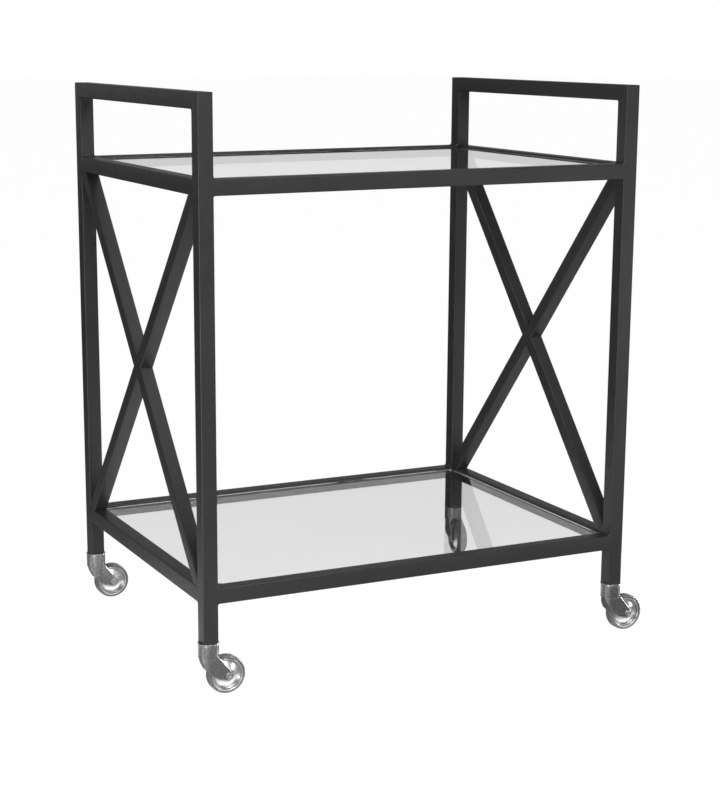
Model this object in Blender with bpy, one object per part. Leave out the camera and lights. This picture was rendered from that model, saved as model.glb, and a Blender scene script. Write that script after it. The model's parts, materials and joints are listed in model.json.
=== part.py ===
"""Bar cart on wheels: welded square-tube frame, two glass shelves, four swivel casters.

World frame in metres: +X runs along the long side (left to right), +Y from front to back,
+Z up, the floor at z = 0.  The origin is the bottom centre of the bounding box of the cart
as it stands, so the frame sits a little to the left of and in front of the origin.
"""
import math

import bmesh
import bpy
from mathutils import Matrix
from mathutils import Vector

# ---- frame tube
TUBE = 0.025            # outside size of the square frame tube
WALL = 0.0015           # tube wall
TUBE_ROUND = 0.0018     # outside corner radius of the tube
GAP = 0.0003            # clearance between two pieces that meet

# ---- overall frame
WIDTH = 0.765           # over the posts, along X
DEPTH = 0.570           # over the posts, along Y
POST_Z = 0.086          # underside of the posts
LOW_RAIL_Z = 0.173      # top of the lower rails
TOP_RAIL_Z = 0.796      # top of the upper rails
HANDLE_Z = 0.921        # top of the handle rails

# ---- cross braces in the two ends
BRACE = 0.023           # outside size of the brace tube
BRACE_LEAN = 0.852      # run over rise of a brace

# ---- glass shelves and their corner tabs
GLASS_DROP = 0.0035     # glass face below the rail tops
GLASS_T = 0.005
GLASS_CLEAR = 0.0010    # glass edge to rail
GLASS_EDGE = 0.0006     # ground edge bevel
TAB_LEG = 0.036
TAB_T = 0.002

# ---- casters
TRAIL = 0.028           # swivel axis to axle
WHEEL_R = 0.0305        # outside radius of the tyre
TYRE_IN = 0.0268        # seat of the tyre on the rim
TYRE_HALF = 0.0098      # half its width
RIM_R = TYRE_IN - GAP
HUB_HALF = 0.0104
AXLE_R = 0.0035
AXLE_END = 0.0176
HEAD_R = 0.0054         # axle bolt's round head
DIMPLE_R = 0.0018       # recess in the middle of the head
DIMPLE_DEEP = 0.0010
BARREL_R = 0.0164
BARREL_LOW = 0.0625
RING_R = 0.0173
RING_T = 0.0016
STEM_R = 0.0050
STEM_TOP = 0.112
STEM_LOW = 0.0663
CHEEK_IN = 0.0112
CHEEK_OUT = 0.0150
CHEEK_END = 0.0080
SLOT_R = 0.0317
INSERT_H = 0.030

# ---- which way each caster trails, degrees from +X
CASTER_YAW = {"front_left": 0.0, "front_right": 0.0, "back_left": 0.0, "back_right": -100.0}

# ---- facets round a full turn
SEG = 28
SEG_PIN = 16

# tyre outline, (radius, distance from the wheel's middle plane), one half
TYRE_HALF_PROFILE = (
    (TYRE_IN, 0.0084),
    (0.0278, TYRE_HALF),
    (0.0294, TYRE_HALF - 0.0006),
    (WHEEL_R, 0.0060),
)

# wheel disc outline, one half: hub face, dome, groove, raised rim
WHEEL_HALF_PROFILE = (
    (AXLE_R + GAP, HUB_HALF),
    (0.0072, HUB_HALF),
    (0.0120, 0.0094),
    (0.0160, 0.0074),
    (0.0190, 0.0044),
    (0.0207, 0.0030),
    (0.0230, 0.0038),
    (0.0245, 0.0080),
    (RIM_R, 0.0083),
)

# cheek of the fork seen from the side, (distance along the trail, height)
CHEEK_OUTLINE = (
    (0.0120, 0.0640),
    (-BARREL_R, 0.0640),
    (-BARREL_R, 0.0612),
    (-0.0112, 0.0500),
    (-0.0045, 0.0392),
    (0.0040, 0.0312),
    (0.0130, 0.0258),
)

PAINT = "frame_paint"
GLASS = "shelf_glass"
CAST = "caster_metal"
STEEL = "bright_steel"
RUBBER = "tyre_rubber"
PLASTIC = "insert_plastic"

COLOURS = {
    PAINT: ((0.055, 0.055, 0.057, 1.0), 0.2, 0.45),
    GLASS: ((0.86, 0.90, 0.89, 1.0), 0.0, 0.05),
    CAST: ((0.42, 0.42, 0.41, 1.0), 0.9, 0.35),
    STEEL: ((0.62, 0.62, 0.62, 1.0), 1.0, 0.25),
    RUBBER: ((0.24, 0.24, 0.24, 1.0), 0.0, 0.70),
    PLASTIC: ((0.03, 0.03, 0.03, 1.0), 0.0, 0.60),
}


def box_middle():
    """Middle of the bounding box, measured from the front-left frame corner."""
    low_x = TUBE / 2 - RING_R
    high_x = WIDTH - TUBE / 2 + TRAIL + WHEEL_R
    return (low_x + high_x) / 2, DEPTH / 2


MID_X, MID_Y = box_middle()
LEFT = -MID_X
RIGHT = LEFT + WIDTH
FRONT = -MID_Y
BACK = FRONT + DEPTH


def clear_scene():
    for obj in list(bpy.data.objects):
        bpy.data.objects.remove(obj, do_unlink=True)


def add_material(node, slot):
    colour, metal, rough = COLOURS[slot]
    mat = bpy.data.materials.new(slot + "." + node)
    mat.use_nodes = True
    shader = mat.node_tree.nodes["Principled BSDF"]
    shader.inputs["Base Color"].default_value = colour
    shader.inputs["Metallic"].default_value = metal
    shader.inputs["Roughness"].default_value = rough
    mat.diffuse_color = colour
    return mat


def add_object(name, bm, slot, origin=(0.0, 0.0, 0.0), yaw=0.0, smooth=False):
    """Turn a bmesh in local coordinates into a named node."""
    bmesh.ops.recalc_face_normals(bm, faces=bm.faces)
    mesh = bpy.data.meshes.new(name)
    bm.to_mesh(mesh)
    bm.free()
    return place_mesh(name, mesh, slot, origin, yaw, smooth)


def place_mesh(name, mesh, slot, origin, yaw, smooth):
    mesh.name = name
    mesh.materials.clear()
    mesh.materials.append(add_material(name, slot))
    obj = bpy.data.objects.new(name, mesh)
    bpy.context.scene.collection.objects.link(obj)
    obj.location = origin
    obj.rotation_euler = (0.0, 0.0, yaw)
    if smooth:
        mesh.shade_smooth()
        mesh.set_sharp_from_angle(angle=math.radians(32))
    return obj


def rounded_square(half, radius, steps):
    """Outline of a square with rounded corners, counter-clockwise."""
    points = []
    for quarter in range(4):
        turn = math.radians(90 * quarter)
        cx = (half - radius) * (1 if quarter in (0, 3) else -1)
        cy = (half - radius) * (1 if quarter in (0, 1) else -1)
        for i in range(steps + 1):
            a = turn + math.radians(90) * i / steps
            points.append((cx + radius * math.cos(a), cy + radius * math.sin(a)))
    return points


def tube_mesh(size, place, start, end):
    """Open-ended hollow square tube.

    place(u, v, t) gives a point; start(u, v) and end(u, v) give the two cuts along the tube.
    """
    bm = bmesh.new()
    outer = rounded_square(size / 2, TUBE_ROUND, 2)
    inner = rounded_square(size / 2 - WALL, 0.0006, 2)
    rings = []
    for outline in (outer, inner):
        low = [bm.verts.new(place(u, v, start(u, v))) for u, v in outline]
        high = [bm.verts.new(place(u, v, end(u, v))) for u, v in outline]
        rings.append((low, high))
    (out_low, out_high), (in_low, in_high) = rings
    count = len(out_low)
    for i in range(count):
        j = (i + 1) % count
        bm.faces.new((out_low[i], out_low[j], out_high[j], out_high[i]))
        bm.faces.new((in_low[j], in_low[i], in_high[i], in_high[j]))
        bm.faces.new((out_low[j], out_low[i], in_low[i], in_low[j]))
        bm.faces.new((out_high[i], out_high[j], in_high[j], in_high[i]))
    return bm


def box_mesh(low, high):
    bm = bmesh.new()
    bmesh.ops.create_cube(bm, size=1.0)
    for vert in bm.verts:
        vert.co = Vector(
            (low[k] + (high[k] - low[k]) * (vert.co[k] + 0.5) for k in range(3))
        )
    return bm


def prism_mesh(outline, low, high, place):
    """Solid prism over a closed outline; place(u, v, t) gives a point."""
    bm = bmesh.new()
    bottom = [bm.verts.new(place(u, v, low)) for u, v in outline]
    top = [bm.verts.new(place(u, v, high)) for u, v in outline]
    bm.faces.new(bottom[::-1])
    bm.faces.new(top)
    count = len(outline)
    for i in range(count):
        j = (i + 1) % count
        bm.faces.new((bottom[i], bottom[j], top[j], top[i]))
    return bm


def lathe_mesh(profile, segments, place):
    """Closed ring of revolution: profile is a closed loop of (radius, height)."""
    bm = bmesh.new()
    rings = []
    for radius, height in profile:
        if radius < 1e-7:
            rings.append([bm.verts.new(place(0.0, 0.0, height))])
            continue
        ring = []
        for i in range(segments):
            a = 2 * math.pi * i / segments
            ring.append(bm.verts.new(place(radius * math.cos(a), radius * math.sin(a), height)))
        rings.append(ring)
    for k, ring in enumerate(rings):
        bridge(bm, ring, rings[(k + 1) % len(rings)])
    return bm


def bridge(bm, first, second):
    if len(first) == 1 and len(second) == 1:
        return
    count = max(len(first), len(second))
    for i in range(count):
        j = (i + 1) % count
        loop = [first[i % len(first)], first[j % len(first)]]
        loop += [second[j % len(second)], second[i % len(second)]]
        corners = []
        for vert in loop:
            if vert not in corners:
                corners.append(vert)
        bm.faces.new(corners)


def upright(u, v, t):
    return Vector((u, v, t))


def sideways(u, v, t):
    """Revolve or extrude along Y: u runs along X, v along Z."""
    return Vector((u, t, v))


def cut(obj, tool_mesh, operation):
    """Exact boolean of a node with a scratch solid; the scratch solid is removed."""
    bpy.context.view_layer.update()
    mesh = bpy.data.meshes.new("scratch")
    bmesh.ops.recalc_face_normals(tool_mesh, faces=tool_mesh.faces)
    tool_mesh.to_mesh(mesh)
    tool_mesh.free()
    tool = bpy.data.objects.new("scratch", mesh)
    bpy.context.scene.collection.objects.link(tool)
    tool.matrix_world = obj.matrix_world.copy()
    mod = obj.modifiers.new("cut", "BOOLEAN")
    mod.operation = operation
    mod.solver = "EXACT"
    mod.object = tool
    bpy.context.view_layer.update()
    graph = bpy.context.evaluated_depsgraph_get()
    result = bpy.data.meshes.new_from_object(obj.evaluated_get(graph), depsgraph=graph)
    obj.modifiers.remove(mod)
    old = obj.data
    obj.data = result
    bpy.data.meshes.remove(old)
    bpy.data.objects.remove(tool, do_unlink=True)
    tidy_mesh(obj)


def tidy_mesh(obj):
    """Join coincident points and drop needle edges left by a cut."""
    bm = bmesh.new()
    bm.from_mesh(obj.data)
    bmesh.ops.remove_doubles(bm, verts=bm.verts, dist=2e-6)
    bmesh.ops.dissolve_degenerate(bm, dist=2e-6, edges=bm.edges)
    bmesh.ops.recalc_face_normals(bm, faces=bm.faces)
    bm.to_mesh(obj.data)
    bm.free()


def copy_node(source, name, slot, origin, yaw, smooth):
    return place_mesh(name, source.data.copy(), slot, origin, yaw, smooth)


# ---------------------------------------------------------------- frame


def post_centre(side, end):
    x = LEFT + TUBE / 2 if side == "left" else RIGHT - TUBE / 2
    y = FRONT + TUBE / 2 if end == "front" else BACK - TUBE / 2
    return x, y


def make_post(end, side):
    """Upright post; its top is mitred to take the handle rail."""
    x, y = post_centre(side, end)
    lean = 1.0 if end == "front" else -1.0
    mitre = GAP * math.sqrt(0.5)

    def top(u, v):
        return HANDLE_Z - TUBE / 2 - lean * v - mitre

    bm = tube_mesh(TUBE, upright, lambda u, v: POST_Z, top)
    add_object("post_%s_%s" % (end, side), bm, PAINT, (x, y, 0.0), smooth=True)


def make_handle(side):
    """Handle rail across the top of an end, mitred to both posts."""
    x = post_centre(side, "front")[0]
    z = HANDLE_Z - TUBE / 2
    mitre = GAP * math.sqrt(0.5)

    def place(u, v, t):
        return Vector((u, t, v))

    def near(u, v):
        return FRONT + TUBE / 2 - v + mitre

    def far(u, v):
        return BACK - TUBE / 2 + v - mitre

    bm = tube_mesh(TUBE, place, near, far)
    add_object("handle_" + side, bm, PAINT, (x, 0.0, z), smooth=True)


def make_side_rail(level, side, top_z):
    x = post_centre(side, "front")[0]
    bm = tube_mesh(
        TUBE,
        lambda u, v, t: Vector((u, t, v)),
        lambda u, v: FRONT + TUBE + GAP,
        lambda u, v: BACK - TUBE - GAP,
    )
    add_object("rail_%s_%s" % (level, side), bm, PAINT, (x, 0.0, top_z - TUBE / 2), smooth=True)


def make_long_rail(level, end, top_z):
    y = post_centre("left", end)[1]
    bm = tube_mesh(
        TUBE,
        lambda u, v, t: Vector((t, u, v)),
        lambda u, v: LEFT + TUBE + GAP,
        lambda u, v: RIGHT - TUBE - GAP,
    )
    add_object("rail_%s_%s" % (level, end), bm, PAINT, (0.0, y, top_z - TUBE / 2), smooth=True)


def brace_window(side):
    """Low and high corner of the opening the cross braces fill."""
    x = post_centre(side, "front")[0]
    low = (x - TUBE, FRONT + TUBE + GAP, LOW_RAIL_Z + GAP)
    high = (x + TUBE, BACK - TUBE - GAP, TOP_RAIL_Z - TUBE - GAP)
    return low, high


def brace_axes(lean):
    """Unit vectors along and across a brace in the plane of the end."""
    length = math.hypot(BRACE_LEAN, 1.0)
    along = Vector((0.0, lean * BRACE_LEAN, 1.0)) / length
    across = Vector((0.0, 1.0, -lean * BRACE_LEAN)) / length
    return along, across


def brace_blank(lean):
    along, across = brace_axes(lean)

    def place(u, v, t):
        return Vector((u, 0.0, 0.0)) + across * v + along * t

    return tube_mesh(BRACE, place, lambda u, v: -0.5, lambda u, v: 0.5)


def brace_envelope(lean, grow):
    along, across = brace_axes(lean)
    half = BRACE / 2 + grow
    outline = ((-half, -half), (half, -half), (half, half), (-half, half))

    def place(u, v, t):
        return Vector((u * 1.5, 0.0, 0.0)) + across * v + along * t

    return prism_mesh(outline, -0.5, 0.5, place)


def make_braces(side):
    """One through bar, and a second bar in two halves that butt against it."""
    low, high = brace_window(side)
    middle = Vector((post_centre(side, "front")[0], (FRONT + BACK) / 2, (low[2] + high[2]) / 2))
    window = (Vector(low) - middle, Vector(high) - middle)
    bar = add_object("brace_%s_through" % side, brace_blank(1.0), PAINT, middle, smooth=True)
    cut(bar, box_mesh(*window), "INTERSECT")
    for half, z_low, z_high in (("upper", 0.0, 0.5), ("lower", -0.5, 0.0)):
        bar = add_object("brace_%s_%s" % (side, half), brace_blank(-1.0), PAINT, middle, smooth=True)
        cut(bar, box_mesh(*window), "INTERSECT")
        cut(bar, box_mesh((-0.1, -0.5, z_low), (0.1, 0.5, z_high)), "INTERSECT")
        cut(bar, brace_envelope(1.0, GAP), "DIFFERENCE")


def make_glass(level, top_z):
    low = Vector((LEFT + TUBE + GLASS_CLEAR, FRONT + TUBE + GLASS_CLEAR, 0.0))
    high = Vector((RIGHT - TUBE - GLASS_CLEAR, BACK - TUBE - GLASS_CLEAR, 0.0))
    upper = top_z - GLASS_DROP
    middle = (low + high) / 2
    half = (high - low) / 2
    rings = (
        (GLASS_EDGE, upper - GLASS_T),
        (0.0, upper - GLASS_T + GLASS_EDGE),
        (0.0, upper - GLASS_EDGE),
        (GLASS_EDGE, upper),
    )
    bm = bmesh.new()
    loops = []
    for inset, z in rings:
        corners = ((-1, -1), (1, -1), (1, 1), (-1, 1))
        loops.append(
            [bm.verts.new((sx * (half.x - inset), sy * (half.y - inset), z - upper)) for sx, sy in corners]
        )
    bm.faces.new(loops[0][::-1])
    bm.faces.new(loops[-1])
    for low_loop, high_loop in zip(loops, loops[1:]):
        bridge(bm, low_loop, high_loop)
    add_object("glass_" + level, bm, GLASS, (middle.x, middle.y, upper))


def make_tab(level, end, side, top_z):
    """Three-cornered tab welded into a corner; the glass rests on it."""
    sx = 1.0 if side == "left" else -1.0
    sy = 1.0 if end == "front" else -1.0
    x = (LEFT if side == "left" else RIGHT) + sx * (TUBE + GAP)
    y = (FRONT if end == "front" else BACK) + sy * (TUBE + GAP)
    z = top_z - GLASS_DROP - GLASS_T - GAP
    outline = ((0.0, 0.0), (sx * TAB_LEG, 0.0), (0.0, sy * TAB_LEG))
    bm = prism_mesh(outline, -TAB_T, 0.0, upright)
    add_object("tab_%s_%s_%s" % (level, end, side), bm, PAINT, (x, y, z))


def make_frame():
    for end in ("front", "back"):
        for side in ("left", "right"):
            make_post(end, side)
    for side in ("left", "right"):
        make_handle(side)
        make_side_rail("top", side, TOP_RAIL_Z)
        make_side_rail("low", side, LOW_RAIL_Z)
        make_braces(side)
    for end in ("front", "back"):
        make_long_rail("top", end, TOP_RAIL_Z)
        make_long_rail("low", end, LOW_RAIL_Z)
    for level, top_z in (("top", TOP_RAIL_Z), ("low", LOW_RAIL_Z)):
        make_glass(level, top_z)
        for end in ("front", "back"):
            for side in ("left", "right"):
                make_tab(level, end, side, top_z)


# ---------------------------------------------------------------- casters


def mirrored(half_profile):
    """Close a half outline by mirroring it in the wheel's middle plane."""
    near = [(r, h) for r, h in half_profile]
    far = [(r, -h) for r, h in half_profile]
    return near + far[::-1]


def fork_outline():
    """Side outline of the fork below the barrel, with the round axle end."""
    points = list(CHEEK_OUTLINE)
    for degrees in range(232, 410, 22):
        a = math.radians(degrees)
        points.append((TRAIL + CHEEK_END * math.cos(a), WHEEL_R + CHEEK_END * math.sin(a)))
    return points


def fork_plan():
    """Plan outline of the fork: round at the swivel, straight cheeks along the trail."""
    turn_in = math.asin(CHEEK_OUT / BARREL_R)
    points = [(0.050, -CHEEK_OUT), (0.050, CHEEK_OUT)]
    steps = 16
    for i in range(steps + 1):
        a = turn_in + (2 * math.pi - 2 * turn_in) * i / steps
        points.append((BARREL_R * math.cos(a), BARREL_R * math.sin(a)))
    return points


def make_fork(name, origin, yaw):
    """Cast fork: swivel barrel with two swept cheeks, slotted for the wheel."""
    high = POST_Z - GAP - RING_T - GAP
    body = prism_mesh(fork_outline(), -0.03, 0.03, sideways)
    fork = add_object(name, body, CAST, origin, smooth=True)
    cut(fork, prism_mesh(fork_plan(), 0.0, 0.07, upright), "INTERSECT")
    barrel = ((0.0, BARREL_LOW), (BARREL_R, BARREL_LOW), (BARREL_R, high), (0.0, high))
    cut(fork, lathe_mesh(barrel, SEG, upright), "UNION")
    slot = ((0.0, -CHEEK_IN), (SLOT_R, -CHEEK_IN), (SLOT_R, CHEEK_IN), (0.0, CHEEK_IN))

    def at_axle(u, v, t):
        return Vector((TRAIL + u, t, WHEEL_R + v))

    cut(fork, lathe_mesh(slot, SEG, at_axle), "DIFFERENCE")
    hole = ((0.0, -0.03), (AXLE_R + GAP, -0.03), (AXLE_R + GAP, 0.03), (0.0, 0.03))
    cut(fork, lathe_mesh(hole, SEG_PIN, at_axle), "DIFFERENCE")
    floor = STEM_LOW - GAP
    bore = ((0.0, floor), (STEM_R + GAP, floor), (STEM_R + GAP, 0.1), (0.0, 0.1))
    cut(fork, lathe_mesh(bore, SEG_PIN, upright), "DIFFERENCE")
    finish_fork(fork, yaw)
    return fork


def finish_fork(fork, yaw):
    fork.rotation_euler = (0.0, 0.0, yaw)
    fork.data.shade_smooth()
    fork.data.set_sharp_from_angle(angle=math.radians(32))


def make_wheel_parts(where, axle_point, yaw):
    wheel = lathe_mesh(mirrored(WHEEL_HALF_PROFILE), SEG, sideways)
    add_object("wheel_" + where, wheel, STEEL, axle_point, yaw, True)
    tyre = lathe_mesh(mirrored(TYRE_HALF_PROFILE), SEG, sideways)
    add_object("tyre_" + where, tyre, RUBBER, axle_point, yaw, True)
    head = CHEEK_OUT + GAP
    half = (
        (0.0, AXLE_END - DIMPLE_DEEP),
        (DIMPLE_R, AXLE_END - DIMPLE_DEEP),
        (DIMPLE_R, AXLE_END),
        (HEAD_R - 0.0012, AXLE_END),
        (HEAD_R, AXLE_END - 0.0012),
        (HEAD_R, head),
        (AXLE_R, head),
    )
    axle = lathe_mesh(mirrored(half), SEG_PIN, sideways)
    add_object("axle_" + where, axle, STEEL, axle_point, yaw, True)


def make_stem_parts(where, x, y):
    ring_top = POST_Z - GAP
    ring = (
        (STEM_R + GAP, ring_top - RING_T),
        (RING_R, ring_top - RING_T),
        (RING_R, ring_top),
        (STEM_R + GAP, ring_top),
    )
    add_object("ring_" + where, lathe_mesh(ring, SEG, upright), STEEL, (x, y, 0.0), 0.0, True)
    stem = (
        (0.0, STEM_LOW),
        (STEM_R, STEM_LOW),
        (STEM_R, STEM_TOP - 0.0010),
        (STEM_R - 0.0010, STEM_TOP),
        (0.0, STEM_TOP),
    )
    add_object("stem_" + where, lathe_mesh(stem, SEG_PIN, upright), STEEL, (x, y, 0.0), 0.0, True)
    half = TUBE / 2 - WALL - GAP
    plug = prism_mesh(rounded_square(half, 0.0006, 1), POST_Z, POST_Z + INSERT_H, upright)
    insert = add_object("insert_" + where, plug, PLASTIC, (x, y, 0.0))
    low = POST_Z - 0.01
    high = POST_Z + INSERT_H + 0.01
    bore = ((0.0, low), (STEM_R + GAP, low), (STEM_R + GAP, high), (0.0, high))
    cut(insert, lathe_mesh(bore, SEG_PIN, upright), "DIFFERENCE")


def make_casters():
    first = None
    for where, degrees in CASTER_YAW.items():
        end, side = where.split("_")
        x, y = post_centre(side, end)
        yaw = math.radians(degrees)
        if first is None:
            first = make_fork("fork_" + where, (x, y, 0.0), yaw)
        else:
            copy_node(first, "fork_" + where, CAST, (x, y, 0.0), yaw, True)
        axle_point = Vector((x, y, 0.0)) + Matrix.Rotation(yaw, 3, "Z") @ Vector((TRAIL, 0.0, WHEEL_R))
        make_wheel_parts(where, axle_point, yaw)
        make_stem_parts(where, x, y)


clear_scene()
make_frame()
make_casters()
bpy.context.view_layer.update()
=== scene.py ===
"""Looks of the bar cart on wheels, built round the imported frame.

Everything is in metres in the frame's own coordinates: +X along the cart, +Y to the back,
+Z up, the floor at z = 0.
"""
import json
import math

import bmesh
import bpy
from mathutils import Matrix
from mathutils import Vector


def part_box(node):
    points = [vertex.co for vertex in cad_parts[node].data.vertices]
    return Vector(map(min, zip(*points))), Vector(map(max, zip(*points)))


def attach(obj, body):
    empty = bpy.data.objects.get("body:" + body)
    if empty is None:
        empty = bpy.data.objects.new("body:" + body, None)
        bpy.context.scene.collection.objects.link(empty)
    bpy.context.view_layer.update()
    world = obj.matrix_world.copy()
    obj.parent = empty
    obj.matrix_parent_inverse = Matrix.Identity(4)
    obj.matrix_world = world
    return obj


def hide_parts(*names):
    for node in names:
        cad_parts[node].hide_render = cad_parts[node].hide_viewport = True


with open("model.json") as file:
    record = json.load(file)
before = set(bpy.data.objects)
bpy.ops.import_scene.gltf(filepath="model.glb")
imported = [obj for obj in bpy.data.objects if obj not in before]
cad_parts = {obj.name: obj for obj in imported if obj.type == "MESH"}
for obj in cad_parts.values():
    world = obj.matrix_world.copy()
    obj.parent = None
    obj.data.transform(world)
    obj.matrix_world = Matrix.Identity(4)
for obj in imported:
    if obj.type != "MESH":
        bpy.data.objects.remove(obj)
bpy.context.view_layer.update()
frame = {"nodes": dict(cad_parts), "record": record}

WHERE = ("front_left", "front_right", "back_left", "back_right")

# ---- camera: place, aim and lens
CAM_PLACE = Vector((-1.3793, -2.7571, 1.0070))
CAM_YAW = math.radians(-24.5186)
CAM_PITCH = math.radians(-12.4979)
CAM_ROLL = math.radians(-0.0918)
CAM_LENS = 81.598
CAM_SENSOR = 36.0
CAM_SHIFT = (0.0832, 0.0406)


def make_camera():
    data = bpy.data.cameras.new("camera")
    cam = bpy.data.objects.new("camera", data)
    bpy.context.scene.collection.objects.link(cam)
    forward = Vector((
        -math.sin(CAM_YAW) * math.cos(CAM_PITCH),
        math.cos(CAM_YAW) * math.cos(CAM_PITCH),
        math.sin(CAM_PITCH),
    ))
    right = forward.cross(Vector((0.0, 0.0, 1.0))).normalized()
    up = right.cross(forward)
    c = math.cos(CAM_ROLL)
    s = math.sin(CAM_ROLL)
    axes = (right * c + up * s, up * c - right * s, -forward)
    turn = Matrix(axes).transposed().to_4x4()
    cam.matrix_world = Matrix.Translation(CAM_PLACE) @ turn
    data.lens = CAM_LENS
    data.sensor_width = CAM_SENSOR
    data.sensor_fit = "AUTO"
    data.shift_x, data.shift_y = CAM_SHIFT
    data.clip_start = 0.05
    data.clip_end = 100.0
    bpy.context.scene.camera = cam


make_camera()


# ---------------------------------------------------------------- stage and light


FLOOR_R = 40.0
FLOOR_TONE = 0.10       # base colour of the floor for scattered light
FLOOR_GLOW = 0.97       # glow of the floor as the eye sees it
BACKDROP_GLOW = 1.05    # glow of the backdrop as the eye sees it

# glow of the floor for everything that it lights or that mirrors it: centre, reach, peak
POOLS = (
    ((-0.66, 0.34, 0.0), 0.30, 0.26),
    ((-1.25, -1.00, 0.0), 0.50, 1.60),
)
# painted light: the strip, the wheel lines and the front band below glow on the floor for everything
# that it lights or that mirrors it, not for the eye
PATCH_HALF = 0.08       # strip of floor under the cart, between the caster rows
PATCH_FADE = 0.04
PATCH_PEAK = 0.62
WHEEL_LINE = 0.286      # lines on the floor just in front of the wheels
WHEEL_LINE_BACK = 0.259
LINE_FADE = 0.016
LINE_PEAK = 1.90
FRONT_BAND = 0.80       # soft band on the floor in front of the cart
BAND_FADE = 0.20
BAND_PEAK = 0.25
SCATTERED_SHARE = 0.4   # part of that glow that matt surfaces receive

# the dim room that lights and mirrors see: a bright part low at the back
SWEEP_AIM = (0.42, 0.90, 0.0)
SWEEP = (0.30, 0.90, 0.12, 1.0)
HORIZON = (0.08, 0.26, 0.66, 0.08)
ROOM = 0.10

# lamps: name, place, aim, size, power
LIGHTS = (
    ("key", (-0.2, -3.9, 3.1), (0.0, -0.28, 0.45), (2.4, 1.8), 150.0),
    ("side", (-2.25, -1.95, 0.32), (0.0, 0.0, 0.4), (0.7, 0.6), 30.0),
    ("fill", (1.35, -1.7, 0.35), (0.2, 0.0, 0.35), (0.6, 0.6), 2.4),
    ("right", (3.4, -0.5, 1.0), (0.0, -0.1, 0.2), (1.6, 1.0), 8.0),
)

# small lamps beside the wheels: name, casters, the surface slope that mirrors the lamp to the
# camera, distance, size, power
GLINTS = (
    ("dome", ("front_left", "front_right"), (0.25, -0.90, 0.35), 0.45, (0.070, 0.070), 0.016),
    ("cheek_edge", WHERE[:3], (0.50, -0.70, 0.50), 0.30, (0.060, 0.060), 0.085),
)
GLINT_SPREAD = math.radians(50.0)


def area_light(name, place, target, size, power):
    data = bpy.data.lights.new(name, "AREA")
    data.shape = "RECTANGLE"
    data.size, data.size_y = size
    data.energy = power
    lamp = bpy.data.objects.new(name, data)
    bpy.context.scene.collection.objects.link(lamp)
    place = Vector(place)
    aim = (Vector(target) - place).to_track_quat("-Z", "Y")
    lamp.matrix_world = Matrix.Translation(place) @ aim.to_matrix().to_4x4()
    return lamp


def seen_directly(tree):
    """1 for a ray that comes from the camera or through clear glass, 0 for light and mirror rays."""
    path = tree.nodes.new("ShaderNodeLightPath")
    most = tree.nodes.new("ShaderNodeMath")
    most.operation = "MAXIMUM"
    tree.links.new(path.outputs["Is Camera Ray"], most.inputs[0])
    tree.links.new(path.outputs["Is Transmission Ray"], most.inputs[1])
    return most.outputs[0]


def math_node(tree, operation, first, second=None):
    node = tree.nodes.new("ShaderNodeMath")
    node.operation = operation
    for socket, value in zip(node.inputs, (first, second)):
        if isinstance(value, (int, float)):
            socket.default_value = value
        elif value is not None:
            tree.links.new(value, socket)
    return node.outputs[0]


def either(tree, choice, when_off, when_on):
    """when_off where choice is 0, when_on where it is 1."""
    node = tree.nodes.new("ShaderNodeMix")
    tree.links.new(choice, node.inputs["Factor"])
    for key, value in (("A", when_off), ("B", when_on)):
        if isinstance(value, (int, float)):
            node.inputs[key].default_value = value
        else:
            tree.links.new(value, node.inputs[key])
    return node.outputs["Result"]


def bell(tree, away, fade, peak):
    """Peak where away is 0 or less, dying off smoothly over the fade distance."""
    reach = math_node(tree, "DIVIDE", math_node(tree, "MAXIMUM", away, 0.0), fade)
    squared = math_node(tree, "MULTIPLY", reach, reach)
    fall = math_node(tree, "EXPONENT", math_node(tree, "MULTIPLY", squared, -1.0))
    return math_node(tree, "MULTIPLY", fall, peak)


def pool_of_light(tree, place, centre, reach, peak):
    """Round glow that falls to half its peak at the reach."""
    away = tree.nodes.new("ShaderNodeVectorMath")
    away.operation = "DISTANCE"
    tree.links.new(place, away.inputs[0])
    away.inputs[1].default_value = centre
    steps = math_node(tree, "DIVIDE", away.outputs["Value"], reach)
    fall = math_node(tree, "ADD", math_node(tree, "MULTIPLY", steps, steps), 1.0)
    return math_node(tree, "DIVIDE", peak, fall)


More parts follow.
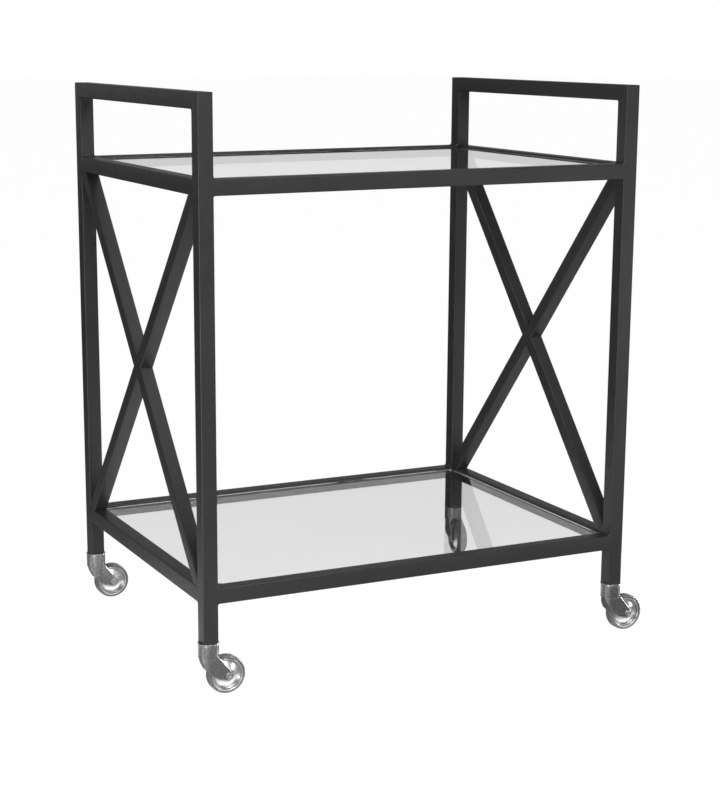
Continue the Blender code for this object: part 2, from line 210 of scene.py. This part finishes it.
def make_floor():
    """White studio floor: an even glow for the eye, and soft pools and lines of light for
    everything that it lights or that mirrors it."""
    bm = bmesh.new()
    bmesh.ops.create_circle(bm, cap_ends=True, segments=96, radius=FLOOR_R)
    mesh = bpy.data.meshes.new("floor")
    bm.to_mesh(mesh)
    bm.free()
    floor = bpy.data.objects.new("floor", mesh)
    bpy.context.scene.collection.objects.link(floor)
    mat = bpy.data.materials.new("floor")
    mat.use_nodes = True
    tree = mat.node_tree
    shader = tree.nodes["Principled BSDF"]
    shader.inputs["Base Color"].default_value = (FLOOR_TONE, FLOOR_TONE, FLOOR_TONE, 1.0)
    shader.inputs["Roughness"].default_value = 0.9
    shader.inputs["Specular IOR Level"].default_value = 0.0
    shader.inputs["Emission Color"].default_value = (1.0, 1.0, 1.0, 1.0)
    place = tree.nodes.new("ShaderNodeNewGeometry").outputs["Position"]
    parts = tree.nodes.new("ShaderNodeSeparateXYZ")
    tree.links.new(place, parts.inputs[0])
    across = parts.outputs["Y"]
    off_middle = math_node(tree, "ABSOLUTE", across)
    glows = [pool_of_light(tree, place, *settings) for settings in POOLS]
    glows.append(bell(tree, math_node(tree, "SUBTRACT", off_middle, PATCH_HALF), PATCH_FADE, PATCH_PEAK))
    for line, fade, peak in (
        (-WHEEL_LINE, LINE_FADE, LINE_PEAK),
        (WHEEL_LINE_BACK, LINE_FADE, LINE_PEAK),
        (-FRONT_BAND, BAND_FADE, BAND_PEAK),
    ):
        away = math_node(tree, "ABSOLUTE", math_node(tree, "SUBTRACT", across, line))
        glows.append(bell(tree, away, fade, peak))
    mirrored_glow = glows[0]
    for more in glows[1:]:
        mirrored_glow = math_node(tree, "ADD", mirrored_glow, more)
    scattered = tree.nodes.new("ShaderNodeLightPath").outputs["Is Diffuse Ray"]
    share = either(tree, scattered, 1.0, SCATTERED_SHARE)
    unseen = math_node(tree, "MULTIPLY", mirrored_glow, share)
    glow = either(tree, seen_directly(tree), unseen, FLOOR_GLOW)
    tree.links.new(glow, shader.inputs["Emission Strength"])
    mesh.materials.append(mat)


def span(tree, value, limits):
    """Smooth step: limits are from low, from high, to low, to high."""
    node = tree.nodes.new("ShaderNodeMapRange")
    node.interpolation_type = "SMOOTHSTEP"
    tree.links.new(value, node.inputs["Value"])
    for key, number in zip(("From Min", "From Max", "To Min", "To Max"), limits):
        node.inputs[key].default_value = number
    return node.outputs["Result"]


def make_world():
    """White sweep for the eye; for light and mirrors a dim room with a bright low horizon."""
    world = bpy.data.worlds.new("studio")
    bpy.context.scene.world = world
    world.use_nodes = True
    tree = world.node_tree
    back = tree.nodes["Background"]
    back.inputs["Color"].default_value = (1.0, 1.0, 1.0, 1.0)
    way = tree.nodes.new("ShaderNodeTexCoord").outputs["Generated"]
    dot = tree.nodes.new("ShaderNodeVectorMath")
    dot.operation = "DOT_PRODUCT"
    tree.links.new(way, dot.inputs[0])
    dot.inputs[1].default_value = Vector(SWEEP_AIM).normalized()
    parts = tree.nodes.new("ShaderNodeSeparateXYZ")
    tree.links.new(way, parts.inputs[0])
    height = span(tree, parts.outputs["Z"], HORIZON)
    heading = span(tree, dot.outputs["Value"], SWEEP)
    room = math_node(tree, "ADD", math_node(tree, "MULTIPLY", height, heading), ROOM)
    tree.links.new(either(tree, seen_directly(tree), room, BACKDROP_GLOW), back.inputs["Strength"])


def make_lights():
    for settings in LIGHTS:
        area_light(*settings)
    for name, casters, slope, distance, size, power in GLINTS:
        normal = Vector(slope).normalized()
        for where in casters:
            low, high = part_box("wheel_" + where)
            centre = (low + high) / 2
            to_eye = (CAM_PLACE - centre).normalized()
            way = normal * 2 * normal.dot(to_eye) - to_eye
            lamp = area_light(name + "_" + where, centre + way * distance, centre, size, power)
            lamp.data.spread = GLINT_SPREAD
            lamp.visible_camera = False
            lamp.visible_transmission = False


make_floor()
make_world()
make_lights()
bpy.context.scene.view_settings.view_transform = "Standard"


# ---------------------------------------------------------------- materials


class Nodes:
    """Small helper that adds and links shader nodes."""

    def __init__(self, name):
        self.mat = bpy.data.materials.new(name)
        self.mat.use_nodes = True
        self.tree = self.mat.node_tree
        self.shader = self.tree.nodes["Principled BSDF"]
        self.coord = self.tree.nodes.new("ShaderNodeTexCoord").outputs["Object"]

    def link(self, source, target):
        self.tree.links.new(source, target)

    def noise(self, scale, detail, rough=0.5):
        node = self.tree.nodes.new("ShaderNodeTexNoise")
        node.inputs["Scale"].default_value = scale
        node.inputs["Detail"].default_value = detail
        node.inputs["Roughness"].default_value = rough
        self.link(self.coord, node.inputs["Vector"])
        return node.outputs["Fac"]

    def tint(self, value, start, end):
        """Base colour that runs between two greys; start and end are (value, colour)."""
        node = self.tree.nodes.new("ShaderNodeValToRGB")
        for element, (at, colour) in zip(node.color_ramp.elements, (start, end)):
            element.position = at
            element.color = (*colour, 1.0)
        self.link(value, node.inputs["Fac"])
        self.link(node.outputs["Color"], self.shader.inputs["Base Color"])

    def gloss(self, value, start, end):
        """Roughness that runs between two values; start and end are (value, roughness)."""
        node = self.tree.nodes.new("ShaderNodeMapRange")
        self.link(value, node.inputs["Value"])
        node.inputs["From Min"].default_value, node.inputs["To Min"].default_value = start
        node.inputs["From Max"].default_value, node.inputs["To Max"].default_value = end
        self.link(node.outputs["Result"], self.shader.inputs["Roughness"])

    def bump(self, height, strength, distance, under=None):
        node = self.tree.nodes.new("ShaderNodeBump")
        node.inputs["Strength"].default_value = strength
        node.inputs["Distance"].default_value = distance
        self.link(height, node.inputs["Height"])
        if under:
            self.link(under, node.inputs["Normal"])
        return node.outputs["Normal"]

    def set(self, key, value):
        self.shader.inputs[key].default_value = value


def paint_material():
    """Satin charcoal powder coat: fine orange peel, slightly uneven gloss."""
    n = Nodes("powder_coat")
    n.tint(n.noise(9.0, 3.0), (0.35, (0.026, 0.026, 0.0265)), (0.65, (0.031, 0.031, 0.0315)))
    n.gloss(n.noise(160.0, 3.0), (0.3, 0.35), (0.7, 0.45))
    peel = n.bump(n.noise(700.0, 3.0), 0.32, 0.0009)
    n.link(n.bump(n.noise(2600.0, 1.0), 0.12, 0.0003, peel), n.shader.inputs["Normal"])
    n.set("IOR", 1.5)
    return n.mat


def glass_material():
    """Clear float glass with a trace of dust in its gloss."""
    n = Nodes("clear_glass")
    n.set("Base Color", (0.90, 0.905, 0.903, 1.0))
    n.set("Transmission Weight", 1.0)
    n.set("IOR", 1.5)
    n.gloss(n.noise(14.0, 4.0, 0.6), (0.45, 0.0), (0.75, 0.012))
    return n.mat


def cast_material():
    """Tumbled zinc casting: grey metal, fine pits, uneven polish."""
    n = Nodes("cast_zinc")
    n.tint(n.noise(420.0, 5.0, 0.62), (0.3, (0.19, 0.19, 0.19)), (0.7, (0.42, 0.42, 0.415)))
    n.gloss(n.noise(240.0, 4.0, 0.6), (0.3, 0.24), (0.7, 0.36))
    n.set("Metallic", 1.0)
    coarse = n.bump(n.noise(260.0, 3.0), 0.22, 0.0009)
    n.link(n.bump(n.noise(1500.0, 3.0), 0.15, 0.0003, coarse), n.shader.inputs["Normal"])
    return n.mat


def steel_material():
    """Plated steel of the discs, bolts and rings: even grey with a soft shine."""
    n = Nodes("bright_steel")
    n.tint(n.noise(300.0, 4.0), (0.3, (0.50, 0.50, 0.495)), (0.7, (0.62, 0.62, 0.615)))
    n.gloss(n.noise(500.0, 3.0), (0.3, 0.28), (0.7, 0.36))
    n.set("Metallic", 1.0)
    return n.mat


def rubber_material():
    """Grey rubber tyre with a dusty, mottled surface."""
    n = Nodes("grey_rubber")
    n.tint(n.noise(260.0, 5.0, 0.65), (0.3, (0.11, 0.11, 0.11)), (0.7, (0.22, 0.22, 0.218)))
    n.gloss(n.noise(140.0, 3.0), (0.3, 0.48), (0.7, 0.68))
    n.link(n.bump(n.noise(700.0, 4.0), 0.3, 0.0006), n.shader.inputs["Normal"])
    return n.mat


def plastic_material():
    """Black plastic of the inserts inside the posts."""
    n = Nodes("black_plastic")
    n.tint(n.noise(120.0, 3.0), (0.3, (0.018, 0.018, 0.018)), (0.7, (0.028, 0.028, 0.028)))
    n.gloss(n.noise(300.0, 3.0), (0.3, 0.45), (0.7, 0.6))
    n.link(n.bump(n.noise(1200.0, 2.0), 0.2, 0.0003), n.shader.inputs["Normal"])
    return n.mat


MATERIALS = {
    "frame_paint": paint_material(),
    "shelf_glass": glass_material(),
    "caster_metal": cast_material(),
    "bright_steel": steel_material(),
    "tyre_rubber": rubber_material(),
    "insert_plastic": plastic_material(),
}


SAME_POINT = 1e-6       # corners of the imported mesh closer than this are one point
SHARP_ANGLE = math.radians(50)


def smooth_group():
    """Modifier nodes that join the split corners and shade curved faces smooth."""
    tree = bpy.data.node_groups.new("smooth_curves", "GeometryNodeTree")
    tree.interface.new_socket("Geometry", in_out="INPUT", socket_type="NodeSocketGeometry")
    tree.interface.new_socket("Geometry", in_out="OUTPUT", socket_type="NodeSocketGeometry")
    nodes = tree.nodes
    source = nodes.new("NodeGroupInput")
    result = nodes.new("NodeGroupOutput")
    merge = nodes.new("GeometryNodeMergeByDistance")
    merge.inputs["Distance"].default_value = SAME_POINT
    faces = nodes.new("GeometryNodeSetShadeSmooth")
    edges = nodes.new("GeometryNodeSetShadeSmooth")
    edges.domain = "EDGE"
    angle = nodes.new("GeometryNodeInputMeshEdgeAngle")
    sharp = nodes.new("FunctionNodeCompare")
    sharp.operation = "GREATER_THAN"
    sharp.inputs[1].default_value = SHARP_ANGLE
    drop = nodes.new("GeometryNodeRemoveAttribute")
    drop.inputs["Name"].default_value = "custom_normal"
    links = tree.links
    links.new(source.outputs[0], drop.inputs[0])
    links.new(drop.outputs[0], merge.inputs["Geometry"])
    links.new(merge.outputs[0], faces.inputs["Geometry"])
    faces.inputs["Shade Smooth"].default_value = True
    links.new(faces.outputs[0], edges.inputs["Geometry"])
    links.new(angle.outputs[0], sharp.inputs[0])
    links.new(sharp.outputs[0], edges.inputs["Selection"])
    edges.inputs["Shade Smooth"].default_value = False
    links.new(edges.outputs[0], result.inputs[0])
    return tree


SMOOTH = smooth_group()


def dress_nodes():
    """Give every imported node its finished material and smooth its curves."""
    for entry in frame["record"]["subparts"]:
        node = frame["nodes"][entry["node"]]
        for slot in node.material_slots:
            slot.material = MATERIALS[entry["material_slot"]]
        if entry["material_slot"] == "shelf_glass":
            continue
        node.modifiers.new("smooth_curves", "NODES").node_group = SMOOTH
        flats = node.modifiers.new("keep_flats_flat", "WEIGHTED_NORMAL")
        flats.keep_sharp = True


dress_nodes()


# ---------------------------------------------------------------- shapes for the new pieces

TUBE = 0.025
BRACE = 0.023
BRACE_LEAN = 0.852      # run of a brace along Y for each metre of height
ROUND = 0.0018          # corner radius of the tubes
GAP = 0.0003            # clearance that the weld metal closes
SKIN = 0.000005         # how far weld metal lies under the tube faces
MOST_OF_SIDE = 0.45     # a rounding takes at most this share of a side
LONG_RAIL_WELDS = (0.0042, 0.0024)      # radius of the weld above and below a rail
END_RAIL_WELDS = (0.0028, 0.0024)
HANDLE_WELD = 0.0030
BRACE_HOLD = 0.014      # how far the weld metal reaches back into a brace
BRACE_BITE = 0.0015     # how far it reaches on into the rail


def add_piece(name, bm, slot, body, stands_for=None, sharp=40.0):
    """Link a finished mesh, give it its material, and let it ride on a body."""
    bmesh.ops.recalc_face_normals(bm, faces=bm.faces)
    mesh = bpy.data.meshes.new(name)
    bm.to_mesh(mesh)
    bm.free()
    mesh.materials.append(MATERIALS[slot])
    mesh.shade_smooth()
    mesh.set_sharp_from_angle(angle=math.radians(sharp))
    piece = bpy.data.objects.new(name, mesh)
    bpy.context.scene.collection.objects.link(piece)
    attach(piece, body)
    if stands_for:
        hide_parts(stands_for)


def loft(bm, rings, looped=False):
    """Skin a row of equal rings of points; open rows are capped at both ends."""
    rows = [[bm.verts.new(point) for point in ring] for ring in rings]
    pairs = list(zip(rows, rows[1:]))
    if looped:
        pairs.append((rows[-1], rows[0]))
    else:
        bm.faces.new(rows[0][::-1])
        bm.faces.new(rows[-1])
    count = len(rows[0])
    for low, high in pairs:
        for i in range(count):
            j = (i + 1) % count
            bm.faces.new((low[i], low[j], high[j], high[i]))


def rounded_square(half, radius, steps=4):
    points = []
    for quarter in range(4):
        cx = (half - radius) * (1 if quarter in (0, 3) else -1)
        cy = (half - radius) * (1 if quarter in (0, 1) else -1)
        for i in range(steps + 1):
            a = math.pi / 2 * (quarter + i / steps)
            points.append((cx + radius * math.cos(a), cy + radius * math.sin(a)))
    return points


def rounded_corner(before, corner, after, radius, steps=4):
    """Points of a curve of about this radius in place of a corner."""
    here = Vector(corner)
    back = Vector(before) - here
    ahead = Vector(after) - here
    reach = min(radius, back.length * MOST_OF_SIDE, ahead.length * MOST_OF_SIDE)
    start = here + back.normalized() * reach
    end = here + ahead.normalized() * reach
    curve = []
    for k in range(steps + 1):
        t = k / steps
        curve.append(start * (1 - t) ** 2 + here * 2 * t * (1 - t) + end * t ** 2)
    return curve


def rounded_profile(corners, radius):
    """Closed outline with every corner rounded off."""
    points = []
    count = len(corners)
    for i, corner in enumerate(corners):
        points += rounded_corner(corners[i - 1], corner, corners[(i + 1) % count], radius)
    return points


def rounded_run(corners, radius):
    """Open run of points: the inner corners rounded, the first left out, the last one kept."""
    points = []
    for before, here, after in zip(corners, corners[1:], corners[2:]):
        points += rounded_corner(before, here, after, radius)
    return points + [Vector(corners[-1])]


def turned(bm, profile, centre, axis, segments=96):
    """Turn a closed outline of (radius, distance along the axis) round the axis."""
    axis = Vector(axis).normalized()
    side = axis.orthogonal().normalized()
    other = axis.cross(side)
    rings = []
    for i in range(segments):
        a = 2 * math.pi * i / segments
        out = side * math.cos(a) + other * math.sin(a)
        rings.append([centre + out * r + axis * h for r, h in profile])
    loft(bm, rings, looped=True)


# ---------------------------------------------------------------- welds


def fillet(bm, corner, away, up, across, half, radius):
    """Concave weld in the corner of two tubes; it follows their rounded edges on both sides."""
    stations = []
    for degrees in (90.0, 67.5, 45.0, 22.5, 0.0):
        a = math.radians(degrees)
        stations.append((half - SKIN - ROUND * (1 - math.sin(a)), ROUND * (1 - math.cos(a)) + SKIN))
    path = [(-w, o) for w, o in stations] + [(w, o) for w, o in reversed(stations)]
    hidden = -(ROUND + GAP)
    rings = []
    for w, o in path:
        ring = [corner + across * w + away * hidden + up * hidden]
        for step in range(7):
            a = math.pi / 2 * step / 6
            along = radius - (radius + o) * math.sin(a)
            rise = radius - (radius + o) * math.cos(a)
            ring.append(corner + across * w + away * along + up * rise)
        rings.append(ring)
    loft(bm, rings)


def collar(bm, middle, axis, side, up, start, end, half):
    """Short closed stretch of tube surface from start to end along the axis."""
    outline = rounded_square(half - SKIN, ROUND)
    rings = []
    for t in (start, end):
        rings.append([middle + axis * t + side * u + up * v for u, v in outline])
    loft(bm, rings)


def weld_rail(name, axis, radius_top, radius_low):
    """Welds at both ends of a rail: the seam round the tube, and the inside corners."""
    low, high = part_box(name)
    middle = (low + high) / 2
    half_length = (high - low).dot(axis) / 2
    up = Vector((0.0, 0.0, 1.0))
    side = up.cross(axis)
    bm = bmesh.new()
    for sign in (-1.0, 1.0):
        out = axis * sign
        collar(bm, middle, out, side, up, half_length - GAP, half_length + GAP + ROUND, TUBE / 2)
        face = middle + out * (half_length + GAP)
        fillet(bm, face + up * TUBE / 2, -out, up, side, TUBE / 2, radius_top)
        fillet(bm, face - up * TUBE / 2, -out, -up, side, TUBE / 2, radius_low)
    add_piece("weld_" + name, bm, "frame_paint", "frame")


def weld_handle(side_name):
    """Mitred corners of a handle, with the round weld inside each corner."""
    low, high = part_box("handle_" + side_name)
    centre = (low + high) / 2
    x_axis = Vector((1.0, 0.0, 0.0))
    bm = bmesh.new()
    bead = ROUND / 2
    for end, lean in (("front", 1.0), ("back", -1.0)):
        post_low, post_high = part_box("post_%s_%s" % (end, side_name))
        y = (post_low.y + post_high.y) / 2
        rings = ([], [], [])
        for u, v in rounded_square(TUBE / 2 - SKIN, ROUND):
            rings[0].append(Vector((centre.x + u, y + v, centre.z - lean * v - bead)))
            rings[1].append(Vector((centre.x + u, y + v, centre.z - lean * v)))
            rings[2].append(Vector((centre.x + u, y + v + lean * bead, centre.z - lean * v)))
        loft(bm, rings)
        corner = Vector((centre.x, y + lean * TUBE / 2, centre.z - TUBE / 2))
        inward = Vector((0.0, lean, 0.0))
        fillet(bm, corner, inward, Vector((0.0, 0.0, -1.0)), x_axis, TUBE / 2, HANDLE_WELD)
    add_piece("weld_handle_" + side_name, bm, "frame_paint", "frame")


def weld_braces(side_name):
    """Weld metal where the cross braces meet the frame and each other."""
    post_low, post_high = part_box("post_front_" + side_name)
    through_low, through_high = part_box("brace_%s_through" % side_name)
    middle = (through_low + through_high) / 2
    middle.x = (post_low.x + post_high.x) / 2
    rise = (through_high.z - through_low.z) / 2
    bm = bmesh.new()
    outline = rounded_square(BRACE / 2 - SKIN, ROUND)
    length = math.hypot(BRACE_LEAN, 1.0)
    for lean in (1.0, -1.0):
        along = Vector((0.0, lean * BRACE_LEAN, 1.0)) / length
        across = Vector((0.0, 1.0, -lean * BRACE_LEAN)) / length
        for sign in (-1.0, 1.0):
            rings = []
            for z in (rise - BRACE_HOLD, rise + GAP + BRACE_BITE):
                ring = []
                for u, v in outline:
                    point = Vector((u, 0.0, 0.0)) + across * v
                    ring.append(middle + point + along * ((sign * z - point.z) / along.z))
                rings.append(ring)
            loft(bm, rings)
    along = Vector((0.0, -BRACE_LEAN, 1.0)) / length
    across = Vector((0.0, 1.0, BRACE_LEAN)) / length
    through_across = Vector((0.0, 1.0, -BRACE_LEAN)) / length
    for sign in (-1.0, 1.0):
        rings = []
        for far in (BRACE / 2 + BRACE_HOLD, BRACE / 2 - ROUND):
            ring = []
            for u, v in outline:
                point = Vector((u, 0.0, 0.0)) + across * v
                run = (sign * far - point.dot(through_across)) / along.dot(through_across)
                ring.append(middle + point + along * run)
            rings.append(ring)
        loft(bm, rings)
    add_piece("weld_braces_" + side_name, bm, "frame_paint", "frame")


for level in ("top", "low"):
    for end in ("front", "back"):
        weld_rail("rail_%s_%s" % (level, end), Vector((1.0, 0.0, 0.0)), *LONG_RAIL_WELDS)
    for side_name in ("left", "right"):
        weld_rail("rail_%s_%s" % (level, side_name), Vector((0.0, 1.0, 0.0)), *END_RAIL_WELDS)
for side_name in ("left", "right"):
    weld_handle(side_name)
    weld_braces(side_name)


# ---------------------------------------------------------------- casters

WHEEL_R = 0.0305
TYRE_SEAT = 0.0268
HUB_HALF = 0.0104
HUB_R = 0.0074
DOME_R = 0.0120
DOME_CURVE = 44.0       # how fast the dome falls away, 1/m
CONE_R = 0.0222
CONE_SLOPE = 0.40
CONE_CURVE = 9.0        # how fast the cone gets steeper, 1/m
LIP_IN = 0.0238
LIP_OUT = 0.0266
LIP_FOOT = 0.0079
BORE_R = 0.0038
AXLE_R = 0.0035
AXLE_END = 0.0176
HEAD_R = 0.0054
HEAD_GAP = 0.0002       # clearance between a bolt's head and the cheek
CHEEK_OUT = 0.0150
BARREL_R = 0.0164
BARREL_LOW = 0.0612
SHOULDER = 0.0020       # rounding at the barrel's top
RING_R = 0.0173
CHEEK_IN = 0.0112
FORK_TOP = 0.0642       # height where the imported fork's cheeks end
TRAIL_START = 0.0145    # points of the fork that trail further than this keep their width
NECK = 0.075            # how much slimmer the fork is than its barrel
BOSS_R = 0.0076
CAST_VOXEL = 0.0005
CAST_SOFT = 3           # number of softening steps
CHEEK_BEVEL = 0.0022    # chamfer on the front edge of a cheek
CHEEK_EDGE = 0.0007     # chamfer on its other edges
CAST_KEPT = 0.3         # share of the faces kept after the casting is softened
CAST_BLEND = 0.5        # strength of one softening step
STEM_BORE_R = 0.0053
SMALL_ROUND = 0.0006
GROOVE_W = 0.0010       # flat ground between the cone and the lip
GROOVE_ROUND = 0.0008
TYRE_ROUND = 0.0011
DISC_SHARP = 60.0       # edges steeper than this, in degrees, stay sharp on discs and castings


def mirrored(half):
    """Outline of (radius, distance) and its mirror image past distance 0."""
    return list(half) + [(r, -h) for r, h in reversed(half)]


def wheel_profile():
    """Half of the disc: hub face, dome that runs out into a cone, groove, round polished lip."""
    half = [(BORE_R, HUB_HALF)]
    for k in range(9):
        r = HUB_R + (DOME_R - HUB_R) * k / 8
        half.append((r, HUB_HALF - DOME_CURVE * (r - HUB_R) ** 2))
    dome_foot = half[-1][1]
    for k in range(1, 8):
        run = (CONE_R - DOME_R) * k / 7
        half.append((DOME_R + run, dome_foot - (CONE_SLOPE + CONE_CURVE * run) * run))
    cone_end = half.pop()
    ground = (CONE_R + GROOVE_W, cone_end[1])
    half += rounded_run((half[-1], cone_end, ground, (LIP_IN, LIP_FOOT)), GROOVE_ROUND)
    lip_r = (LIP_OUT - LIP_IN) / 2
    for k in range(1, 9):
        a = math.pi * k / 8
        half.append((LIP_IN + lip_r * (1 - math.cos(a)), LIP_FOOT + lip_r * math.sin(a)))
    return mirrored(half)


def tyre_profile():
    """Closed outline of the tyre, from its seat on the disc to the tread."""
    corners = (
        (TYRE_SEAT, 0.0082),
        (0.0274, 0.0098),
        (0.0290, 0.0096),
        (WHEEL_R, 0.0062),
    )
    return rounded_profile(mirrored(corners), TYRE_ROUND)


def axle_profile():
    """Half of the bolt: a head with a small recess, and the shank."""
    seat = CHEEK_OUT + HEAD_GAP
    return (
        (0.0, AXLE_END - 0.0021),
        (0.0019, AXLE_END - 0.0021),
        (0.0023, AXLE_END - 0.0002),
        (0.0030, AXLE_END),
        (HEAD_R, AXLE_END - 0.0010),
        (HEAD_R, seat),
        (AXLE_R, seat),
    )


def turned_piece(name, profile, centre, axis, slot, body, node, sharp=40.0):
    """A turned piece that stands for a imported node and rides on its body."""
    bm = bmesh.new()
    turned(bm, profile, centre, axis)
    bmesh.ops.remove_doubles(bm, verts=bm.verts, dist=1e-7)
    bmesh.ops.dissolve_degenerate(bm, dist=1e-7, edges=bm.edges)
    add_piece(name, bm, slot, body, node, sharp)


def cast_fork(where, place, axle, axis):
    """Fork as a casting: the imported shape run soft, slimmer under its barrel, with axle bosses."""
    source = frame["nodes"]["fork_" + where]
    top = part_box("fork_" + where)[1].z
    swivel = Vector((place[0], place[1], 0.0))
    trail = axis.cross(Vector((0.0, 0.0, 1.0)))
    bm = bmesh.new()
    bm.from_mesh(source.data)
    bmesh.ops.remove_doubles(bm, verts=bm.verts, dist=SAME_POINT)
    bmesh.ops.dissolve_limit(bm, angle_limit=math.radians(1.0), verts=bm.verts, edges=bm.edges)
    rims = ([], [])
    for edge in bm.edges:
        level = all(abs(abs((v.co - swivel).dot(axis)) - CHEEK_OUT) < 2e-4 for v in edge.verts)
        if not level or edge.calc_face_angle(0.0) < 0.5:
            continue
        face_normals = [face.normal for face in edge.link_faces if abs(face.normal.dot(axis)) < 0.5]
        lit = any(n.dot(trail) > 0.3 and n.z > 0.2 for n in face_normals)
        rims[0 if lit else 1].append(edge)
    for edges, width in zip(rims, (CHEEK_BEVEL, CHEEK_EDGE)):
        kept = [edge for edge in edges if edge.is_valid]
        bmesh.ops.bevel(bm, geom=kept, offset=width, segments=1, affect="EDGES", clamp_overlap=True)
    for vert in bm.verts:
        local = vert.co - swivel
        if vert.co.z > FORK_TOP or local.dot(trail) > TRAIL_START:
            continue
        vert.co -= (local.dot(axis) * axis + local.dot(trail) * trail) * NECK
    barrel = [(STEM_BORE_R, BARREL_LOW), (BARREL_R, BARREL_LOW), (BARREL_R, top - SHOULDER)]
    for k in range(1, 7):
        a = math.pi / 2 * k / 6
        barrel.append((BARREL_R - SHOULDER * (1 - math.cos(a)), top - SHOULDER * (1 - math.sin(a))))
    barrel.append((STEM_BORE_R, top))
    turned(bm, barrel, swivel, (0.0, 0.0, 1.0))
    for sign in (-1.0, 1.0):
        near = sign * (CHEEK_IN + SMALL_ROUND)
        far = sign * CHEEK_OUT
        boss = ((BORE_R, near), (BOSS_R, near), (BOSS_R, far), (BORE_R, far))
        turned(bm, rounded_profile(boss, SMALL_ROUND), axle, axis, 48)
    mesh = bpy.data.meshes.new("fork_blank")
    bmesh.ops.recalc_face_normals(bm, faces=bm.faces)
    bm.to_mesh(mesh)
    bm.free()
    blank = bpy.data.objects.new("fork_blank", mesh)
    bpy.context.scene.collection.objects.link(blank)
    skin = blank.modifiers.new("skin", "REMESH")
    skin.mode = "VOXEL"
    skin.voxel_size = CAST_VOXEL
    soft = blank.modifiers.new("soften", "SMOOTH")
    soft.factor = CAST_BLEND
    soft.iterations = CAST_SOFT
    fewer = blank.modifiers.new("fewer", "DECIMATE")
    fewer.ratio = CAST_KEPT
    graph = bpy.context.evaluated_depsgraph_get()
    made = bmesh.new()
    made.from_object(blank, graph)
    bpy.data.objects.remove(blank, do_unlink=True)
    bpy.data.meshes.remove(mesh)
    add_piece("cast_fork_" + where, made, "caster_metal", "caster_" + where, "fork_" + where, DISC_SHARP)


def make_caster(where):
    """All the detailed pieces of one caster, set about its swivel and its axle."""
    joints = {joint["name"]: joint for joint in frame["record"]["behaviour"]["joints"]}
    roll = joints["roll_" + where]
    swivel = joints["swivel_" + where]
    centre = Vector(roll["pos_m"])
    axis = Vector(roll["axis"])
    caster = "caster_" + where
    roller = "roller_" + where
    for name, node, profile, slot, body, sharp in (
        ("disc_", "wheel_", wheel_profile(), "bright_steel", roller, DISC_SHARP),
        ("tread_", "tyre_", tyre_profile(), "tyre_rubber", roller, 40.0),
        ("bolt_", "axle_", mirrored(axle_profile()), "bright_steel", caster, 40.0),
    ):
        turned_piece(name + where, profile, centre, axis, slot, body, node + where, sharp)
    cast_fork(where, swivel["pos_m"], centre, axis.normalized())
    low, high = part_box("ring_" + where)
    outline = ((STEM_BORE_R, low.z), (RING_R, low.z), (RING_R, high.z), (STEM_BORE_R, high.z))
    turned_piece(
        "flange_" + where,
        rounded_profile(outline, SMALL_ROUND),
        Vector((swivel["pos_m"][0], swivel["pos_m"][1], 0.0)),
        (0.0, 0.0, 1.0),
        "bright_steel",
        "frame",
        "ring_" + where,
    )


for where in WHERE:
    make_caster(where)
